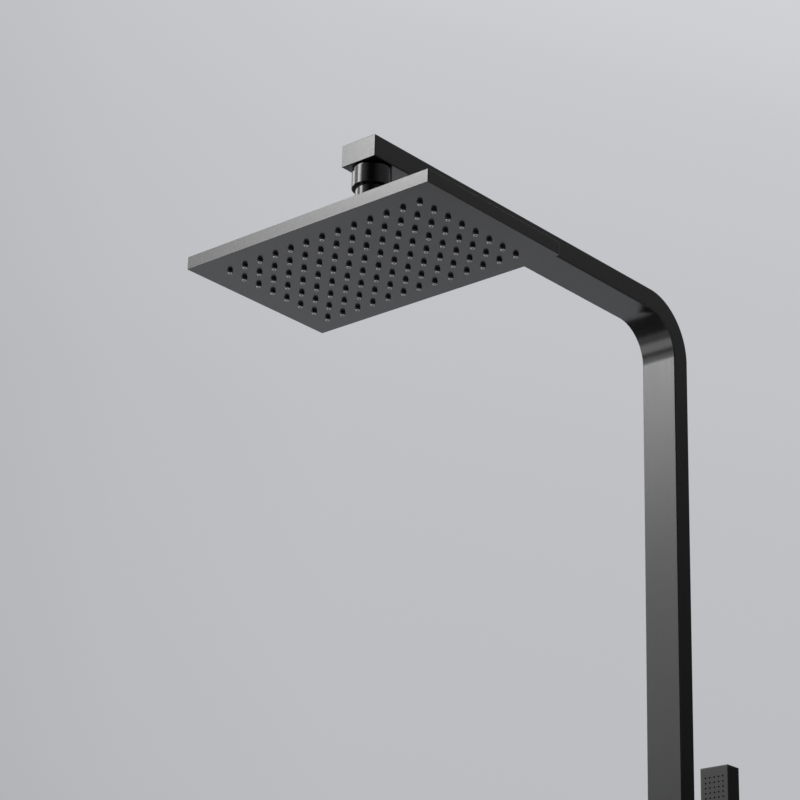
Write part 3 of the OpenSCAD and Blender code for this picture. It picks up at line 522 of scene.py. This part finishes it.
def make_handset_inlet():
    """The foot that closes the handset: a block with a groove for its seal, a neck, and the hose's thread."""
    x, y, edge, rim, top_rim, overlap = HANDSET_X, HANDSET_Y, HANDSET_EDGE, 0.3, 0.25, 1
    half_w, half_d = HANDSET_IN_W / 2 - GAP, HANDSET_IN_D / 2 - GAP
    neck_z, neck_l = HANDSET_Z - FOOT_NECK_L, FOOT_NECK_L + overlap
    profile = [(0, neck_l), (FOOT_NECK_R, neck_l), (FOOT_NECK_R, rim), (FOOT_NECK_R - rim, 0)]
    profile += [(FOOT_NECK_R - rim, -overlap), (0, -overlap)]
    foot = turned("handset_foot_threaded", (x, y, neck_z), (0, 0, 1), profile, 72, closed=False)
    combine(foot, make_thread("thread", x, y, neck_z), "UNION")
    top_z = HANDSET_Z + FOOT_L
    foot_block = block("block", (x - half_w, y - half_d, HANDSET_Z), (x + half_w, y + half_d, top_z))
    pick_edges(along(Z))
    round_off(edge, 5)
    pick_faces(facing(Z, 1))
    round_off(top_rim, 2)
    close_up()
    combine(foot, foot_block, "UNION")
    low, groove_w, deep = HANDSET_Z + FOOT_L / 2, 2, 1.0
    high = low + groove_w
    wide_w, wide_d = half_w + 1, half_d + 1
    groove = plain_box("groove", (x - wide_w, y - wide_d, low), (x + wide_w, y + wide_d, high))
    half_w, half_d = half_w - deep, half_d - deep
    core = block("core", (x - half_w, y - half_d, low - 1), (x + half_w, y + half_d, high + 1))
    pick_edges(along(Z))
    round_off(edge, 4)
    close_up()
    combine(groove, core)
    combine(foot, groove)
    combine(foot, rod("bore", FOOT_BORE_R, (x, y, neck_z - THREAD_L - 1), (x, y, top_z + 1)))
    smooth(foot, 35)
    finish_piece(foot, "handset", "handset_inlet", black_gloss)


def make_spray_strip():
    """The silicone strip behind the spray holes: a small bored tip is turned and repeated along it."""
    strip_y = HANDSET_Y - HANDSET_IN_D / 2
    top_z = HANDSET_Z + HANDSET_L - FIRST_ROW
    corner = (HANDSET_X - (SPRAY_COLS - 1) / 2 * SPRAY_PITCH, strip_y, top_z - (SPRAY_ROWS - 1) * SPRAY_PITCH)
    tip_r, bore_r, bore_deep, lip, sunk, strip_edge = SPRAY_R - GAP, 0.3, 0.8, 0.15, 0.8, 0.3
    out = HANDSET_WALL - sunk
    profile = [(0, out - bore_deep), (bore_r, out - bore_deep), (bore_r, out)]
    profile += arc(tip_r - lip, out - lip, lip, 90, 0, 2) + [(tip_r, -STRIP_T / 2), (0, -STRIP_T / 2)]
    tip = turned("spray_tips_moulded", corner, (0, -1, 0), profile, 12, closed=False)
    row(tip, SPRAY_COLS, x=SPRAY_PITCH)
    row(tip, SPRAY_ROWS, z=SPRAY_PITCH)
    half_w = HANDSET_IN_W / 2 - HANDSET_EDGE - GAP
    low, high = HANDSET_X - half_w, HANDSET_X + half_w
    low_z, high_z = corner[Z] - STRIP_EDGE, top_z + STRIP_EDGE
    strip = plain_box("strip", (low, strip_y, low_z), (high, strip_y + STRIP_T, high_z))
    soften(strip, strip_edge)
    join([tip, strip])
    smooth(tip, 40)
    finish_piece(tip, "handset", "handset_nozzle_strip", rubber)


# Slider

def make_clamp_knob():
    """The knob that clamps the slider: a turned body with flutes, rounded at its rim, hollow at its end."""
    body_r, length, shaft_r, face_x, shaft_end_x = 9.0, 12.0, 3.0, -21.3, -17.4
    rim, inner_rim, hollow_r, hollow = 0.6, 0.3, 4.5, 0.5
    flutes, flute_r, flute_start, flute_edge = 12, 0.8, 2, 0.12
    shaft_end = face_x - shaft_end_x
    profile = [(0, shaft_end), (shaft_r, shaft_end), (shaft_r, 0)]
    profile += [(body_r - inner_rim, 0), (body_r, inner_rim)]
    profile += arc(body_r - rim, length - rim, rim, 0, 90, 4)
    profile += [(hollow_r, length), (hollow_r - hollow, length - hollow), (0, length - hollow)]
    knob = turned("clamp_knob_fluted", (face_x, TUBE_Y, SLIDER_Z), (-1, 0, 0), profile, 96, closed=False)
    start_x, end_x = face_x - flute_start, face_x - length - 1
    for n in range(flutes):
        angle = n * math.pi / (flutes / 2)
        y, z = TUBE_Y + body_r * math.cos(angle), SLIDER_Z + body_r * math.sin(angle)
        combine(knob, rod("flute", flute_r, (start_x, y, z), (end_x, y, z), 20))
    soften(knob, flute_edge, 2, 50)
    smooth(knob)
    finish_piece(knob, "lock", "slider_lock", black_coat)


def make_softened(name, body, node, finish, width):
    """A copy of a CAD node, merged and cleaned of split faces, with its sharp edges rounded a little."""
    select_nothing()
    piece = frame["nodes"][node].copy()
    piece.data = frame["nodes"][node].data.copy()
    bpy.context.scene.collection.objects.link(piece)
    piece.name = name
    for key in list(piece.keys()):
        del piece[key]
    edit(piece)
    merge_doubles()
    bpy.ops.mesh.dissolve_limited(angle_limit=math.radians(1))
    done()
    soften(piece, width)
    smooth(piece)
    finish_piece(piece, body, node, finish)


# Finishes

# The noises' usual values, which are spread over a finish's range
NOISE_LOW, NOISE_HIGH = 0.3, 0.7


def new_finish(name):
    """A new material, its node tree, its shader and the place on the piece in Object coordinates."""
    finish = bpy.data.materials.new(name)
    finish.use_nodes = True
    tree = finish.node_tree
    shader = tree.nodes["Principled BSDF"]
    place = tree.nodes.new("ShaderNodeTexCoord")
    return finish, tree, shader, place.outputs["Object"]


def noise(tree, place, stretch, detail):
    """A noise pattern: stretch gives its grains per metre along each axis."""
    mapping = tree.nodes.new("ShaderNodeMapping")
    mapping.inputs["Scale"].default_value = stretch
    pattern = tree.nodes.new("ShaderNodeTexNoise")
    pattern.inputs["Scale"].default_value = 1
    pattern.inputs["Detail"].default_value = detail
    tree.links.new(place, mapping.inputs["Vector"])
    tree.links.new(mapping.outputs["Vector"], pattern.inputs["Vector"])
    return pattern.outputs["Fac"]


def between(tree, factor, low, high):
    """Spreads a noise over a range of numbers."""
    spread = tree.nodes.new("ShaderNodeMapRange")
    spread.inputs["From Min"].default_value = NOISE_LOW
    spread.inputs["From Max"].default_value = NOISE_HIGH
    spread.inputs["To Min"].default_value = low
    spread.inputs["To Max"].default_value = high
    tree.links.new(factor, spread.inputs["Value"])
    return spread.outputs["Result"]


def tint(tree, factor, dark, light):
    """Spreads a noise over a range of colours."""
    ramp = tree.nodes.new("ShaderNodeValToRGB")
    ramp.color_ramp.elements[0].position = NOISE_LOW
    ramp.color_ramp.elements[0].color = (*dark, 1)
    ramp.color_ramp.elements[1].position = NOISE_HIGH
    ramp.color_ramp.elements[1].color = (*light, 1)
    tree.links.new(factor, ramp.inputs["Fac"])
    return ramp.outputs["Color"]


def relief(tree, factor, depth, shader):
    """Raises the surface by a pattern, depth in metres."""
    bump = tree.nodes.new("ShaderNodeBump")
    bump.inputs["Strength"].default_value = 1
    bump.inputs["Distance"].default_value = depth
    tree.links.new(factor, bump.inputs["Height"])
    tree.links.new(bump.outputs["Normal"], shader.inputs["Normal"])


def satin_black(name, dark, streaks, rough_low, rough_high):
    """Black coat on metal: a hint of the brushing under it, and the fine grain of sprayed paint."""
    cooler, light_share, grain_deep = (1, 1, 1.04), 1.35, 0.000001
    finish, tree, shader, place = new_finish(name)
    cloud = noise(tree, place, (14, 14, 14), 3)
    brushing = noise(tree, place, streaks, 4)
    grain = noise(tree, place, (1400, 1400, 1400), 2)
    colours = [tuple(dark * share * part for part in cooler) for share in (1, light_share)]
    tree.links.new(tint(tree, cloud, *colours), shader.inputs["Base Color"])
    tree.links.new(between(tree, brushing, rough_low, rough_high), shader.inputs["Roughness"])
    relief(tree, grain, grain_deep, shader)
    shader.inputs["IOR"].default_value = 1.5
    return finish


def plain_finish(name, dark, light, rough_low, rough_high, metallic=0.0, stretch=(60, 60, 60)):
    """One colour that clouds a little between two shades, with fine marks in its gloss and relief."""
    marks_deep = 0.000002
    finish, tree, shader, place = new_finish(name)
    cloud = noise(tree, place, (25, 25, 25), 3)
    marks = noise(tree, place, stretch, 4)
    tree.links.new(tint(tree, cloud, dark, light), shader.inputs["Base Color"])
    tree.links.new(between(tree, marks, rough_low, rough_high), shader.inputs["Roughness"])
    relief(tree, marks, marks_deep, shader)
    shader.inputs["Metallic"].default_value = metallic
    return finish


black_tube = satin_black("satin_black_tube", 0.0045, (700, 5, 5), 0.2, 0.24)
black_coat = satin_black("satin_black_coat", 0.0045, (260, 260, 260), 0.205, 0.225)
black_gloss = satin_black("gloss_black_turned", 0.0006, (40, 40, 900), 0.15, 0.18)
rubber = plain_finish("black_silicone", (0.006, 0.006, 0.0065), (0.009, 0.009, 0.0095), 0.2, 0.28)
nozzle_side = plain_finish(
    "black_silicone_polished", (0.0008, 0.0008, 0.0009), (0.0012, 0.0012, 0.0013), 0.2, 0.26)
# The nozzle tips' pale grey is painted highlight: it stands in for the tips' reflection of the floor and the
# lamps' glints
nozzle_tip_painted_highlight = plain_finish("silicone_tip_painted_highlight", (0.35, 0.35, 0.355), (0.39, 0.39, 0.395), 0.26, 0.32)
brass = plain_finish("turned_brass", (0.58, 0.43, 0.19), (0.66, 0.5, 0.23), 0.22, 0.34, 1.0, (60, 60, 1500))
steel = plain_finish("brushed_steel", (0.5, 0.51, 0.52), (0.58, 0.59, 0.6), 0.24, 0.36, 1.0, (1200, 40, 40))
plastic = plain_finish("white_acetal", (0.76, 0.75, 0.71), (0.82, 0.81, 0.77), 0.38, 0.5)

SLOT_FINISH = {
    "black_metal": black_coat,
    "rubber": rubber,
    "brass": brass,
    "steel": steel,
    "white_plastic": plastic,
}
slot_of = {part["node"]: part["material_slot"] for part in frame["record"]["subparts"]}
for name, node in frame["nodes"].items():
    node.data.materials.clear()
    node.data.materials.append(SLOT_FINISH[slot_of[name]])

make_tube()
make_end_cap()
make_collar()
make_neck()
make_head_tray()
make_nozzle_mat()
make_bracket_rosette()
make_inlet_rosette()
make_hose_outlet()
make_handset_inlet()
make_spray_strip()
make_clamp_knob()
make_softened("holder_channel", "holder", "handset_holder", black_coat, 0.3)
make_softened("head_back", "rain_head", "head_back_cover", black_coat, 0.25)


# Studio

# The backdrop brightens along the first direction, and its left edge lies against the second
WORLD_UP = (0.405, -0.133, 0.904)
WORLD_RIGHT = (0.757, 0.653, 0.025)

# The floor's height and size in metres, and its parts along a side
FLOOR_Z, FLOOR_SIZE, FLOOR_PARTS = -0.16, 60, 16

# Two corners, in mm, of the dark card that the inside of the bend mirrors
CARD_LOW, CARD_HIGH = (-600, -520, 240), (-320, 380, 242)

# The camera's place in metres, its turn in degrees to the left, up and about its own axis, and its lens in mm
CAMERA_PLACE = (1.09209, -1.60553, 0.09881)
CAMERA_YAW, CAMERA_PITCH, CAMERA_ROLL = 41.365, 22.136, 1.556
CAMERA_LENS, CAMERA_SENSOR = 116.8, 36

# How far the camera sees, in metres
CAMERA_REACH = 80


def add_floor():
    """A wide pale floor under the set."""
    select_nothing()
    bpy.ops.mesh.primitive_grid_add(x_subdivisions=FLOOR_PARTS, y_subdivisions=FLOOR_PARTS, size=FLOOR_SIZE,
                                    location=(0, 0, FLOOR_Z))
    floor = bpy.context.object
    floor.name = "studio_floor"
    finish, tree, shader, place = new_finish("pale_floor")
    cloud = noise(tree, place, (0.8, 0.8, 0.8), 2)
    tree.links.new(tint(tree, cloud, (0.64, 0.645, 0.66), (0.68, 0.685, 0.7)), shader.inputs["Base Color"])
    shader.inputs["Roughness"].default_value = 0.7
    floor.data.materials.append(finish)


def add_dark_card():
    """A dark card low at the riser's left, hidden from the camera, that the inside of the bend mirrors."""
    card = plain_box("dark_card", CARD_LOW, CARD_HIGH)
    finish, tree, shader, place = new_finish("dark_felt")
    nap = noise(tree, place, (900, 900, 900), 2)
    tree.links.new(tint(tree, nap, (0.012, 0.012, 0.012), (0.02, 0.02, 0.02)), shader.inputs["Base Color"])
    shader.inputs["Roughness"].default_value = 1
    card.data.materials.append(finish)
    card.visible_camera = False


def ramp_of(tree, value, low, high, stops):
    """A ramp over a value's range: each stop is a place from low to high and a brightness or a colour."""
    spread = tree.nodes.new("ShaderNodeMapRange")
    spread.inputs["From Min"].default_value = low
    spread.inputs["From Max"].default_value = high
    ramp = tree.nodes.new("ShaderNodeValToRGB")
    elements = ramp.color_ramp.elements
    while len(elements) < len(stops):
        elements.new(0.5)
    for element, (place, shade) in zip(elements, stops):
        element.position = (place - low) / (high - low)
        element.color = (*shade, 1) if isinstance(shade, tuple) else (shade, shade, shade, 1)
    tree.links.new(value, spread.inputs["Value"])
    tree.links.new(spread.outputs["Result"], ramp.inputs["Fac"])
    return ramp.outputs["Color"]


def mix(tree, kind, factor, first, second):
    """Mixes two colours; a factor may be a number or a socket."""
    node = tree.nodes.new("ShaderNodeMix")
    node.data_type = "RGBA"
    node.blend_type = kind
    if isinstance(factor, (int, float)):
        node.inputs["Factor"].default_value = factor
    else:
        tree.links.new(factor, node.inputs["Factor"])
    tree.links.new(first, node.inputs["A"])
    tree.links.new(second, node.inputs["B"])
    return node.outputs["Result"]


def add_world():
    """Pale studio air, a little brighter upwards, which falls off to the room's dark right side."""
    world = bpy.data.worlds.new("studio_air")
    bpy.context.scene.world = world
    world.use_nodes = True
    tree = world.node_tree
    direction = tree.nodes.new("ShaderNodeTexCoord").outputs["Generated"]

    def reach(x, y, z):
        """How far a direction goes along another one."""
        product = tree.nodes.new("ShaderNodeVectorMath")
        product.operation = "DOT_PRODUCT"
        product.inputs[1].default_value = (x, y, z)
        tree.links.new(direction, product.inputs[0])
        return product.outputs["Value"]

    def air(shade):
        """A slightly cool grey."""
        return (shade * 0.985, shade, shade * 1.04)

    # The pale backdrop, which brightens upwards and darkens a little at its left edge
    rising = ramp_of(tree, reach(*WORLD_UP), -0.2, 0.2, [
        (-0.19, air(0.49)), (-0.16, air(0.503)), (-0.1, air(0.515)), (-0.016, air(0.527)), (0.016, air(0.54)),
        (0.08, air(0.558)), (0.135, air(0.584)), (0.158, air(0.617)), (0.18, air(0.64))])
    left_edge = ramp_of(tree, reach(*WORLD_RIGHT), -0.2, 0.1, [(-0.154, 0.92), (-0.11, 0.965), (-0.03, 1.0)])
    # The dark side, which is paler higher up and towards the back
    dark_high = ramp_of(tree, reach(0, 0, 1), 0.0, 0.6, [
        (0.24, 0.23), (0.36, 0.48), (0.42, 0.9), (0.52, 1.5)])
    dark_round = ramp_of(tree, reach(0, 1, 0), -0.8, 0.6, [(-0.6, 0.03), (-0.25, 0.15), (0.1, 0.26)])
    dark_side = mix(tree, "MULTIPLY", 1, dark_high, dark_round)
    # The way from the backdrop to the dark side, and a paler patch far at the right
    side = ramp_of(tree, reach(1, 0, 0), -0.2, 0.5, [(-0.15, 0.0), (0.0, 0.25), (0.2, 0.7), (0.4, 1.0)])
    shade = mix(tree, "MIX", side, mix(tree, "MULTIPLY", 1, rising, left_edge), dark_side)
    far_right = ramp_of(tree, reach(1, 0, 0), 0.85, 1.0, [(0.9, 0.0), (0.97, 0.6)])
    shade = mix(tree, "LIGHTEN", 1, shade, far_right)
    tree.links.new(shade, tree.nodes["Background"].inputs["Color"])
    tree.nodes["Background"].inputs["Strength"].default_value = 1


def add_lamp(name, place, target, width, height, brightness, shape="ELLIPSE"):
    """A soft lamp of an even brightness, on which 1 is white paper in plain light."""
    lamp = bpy.data.lights.new(name, "AREA")
    lamp.shape = shape
    lamp.size = width
    lamp.size_y = height
    area = width * height * (math.pi / 4 if shape == "ELLIPSE" else 1)
    lamp.energy = brightness * math.pi * area
    stand = bpy.data.objects.new(name, lamp)
    bpy.context.scene.collection.objects.link(stand)
    stand.location = place
    stand.rotation_mode = "QUATERNION"
    stand.rotation_quaternion = (Vector(target) - Vector(place)).to_track_quat("-Z", "Y")
    stand.visible_camera = False


def add_camera():
    """The camera at the photo's angle."""
    yaw, pitch, roll = (math.radians(angle) for angle in (CAMERA_YAW, CAMERA_PITCH, CAMERA_ROLL))
    forward = Vector((-math.sin(yaw) * math.cos(pitch), math.cos(yaw) * math.cos(pitch), math.sin(pitch)))
    level = Vector((math.cos(yaw), math.sin(yaw), 0))
    upright = level.cross(forward)
    right = level * math.cos(roll) + upright * math.sin(roll)
    up = upright * math.cos(roll) - level * math.sin(roll)
    camera = bpy.data.objects.new("camera", bpy.data.cameras.new("camera"))
    bpy.context.scene.collection.objects.link(camera)
    camera.data.sensor_width = CAMERA_SENSOR
    camera.data.lens = CAMERA_LENS
    camera.data.clip_end = CAMERA_REACH
    turning = Matrix((right, up, -forward)).transposed().to_4x4()
    camera.matrix_world = Matrix.Translation(CAMERA_PLACE) @ turning
    bpy.context.scene.camera = camera


add_floor()
add_dark_card()
add_world()
# Each lamp's name, place and target in metres, width, height and brightness
add_lamp("front_lamp", (-0.8, -1.6, 2.05), (0, -0.3, 0.75), 0.75, 0.9, 9.0)
add_lamp("wide_lamp", (-1.25, -1.75, 1.65), (0, -0.3, 0.75), 1.4, 1.3, 1.2)
add_lamp("left_lamp", (-1.88, -0.62, 1.5), (0, -0.35, 1.7), 1.0, 1.2, 3.4, "RECTANGLE")
add_lamp("low_lamp", (-0.95, -1.5, 0.4), (0, -0.2, 1.4), 0.8, 0.7, 2.4, "RECTANGLE")
add_lamp("far_lamp", (-2.38, -3.09, 2.53), (0, -0.4, 0.9), 0.6, 0.6, 6.5)
add_lamp("nozzle_lamp", (-1.85, -0.75, 0.44), (0, -0.4, 1.2), 0.8, 0.5, 7.0, "RECTANGLE")
add_lamp("floor_lamp", (-1.9, 1.1, 1.3), (-1.9, 1.1, -0.16), 1.8, 1.8, 1.8)
add_camera()
bpy.context.scene.view_settings.view_transform = "Standard"
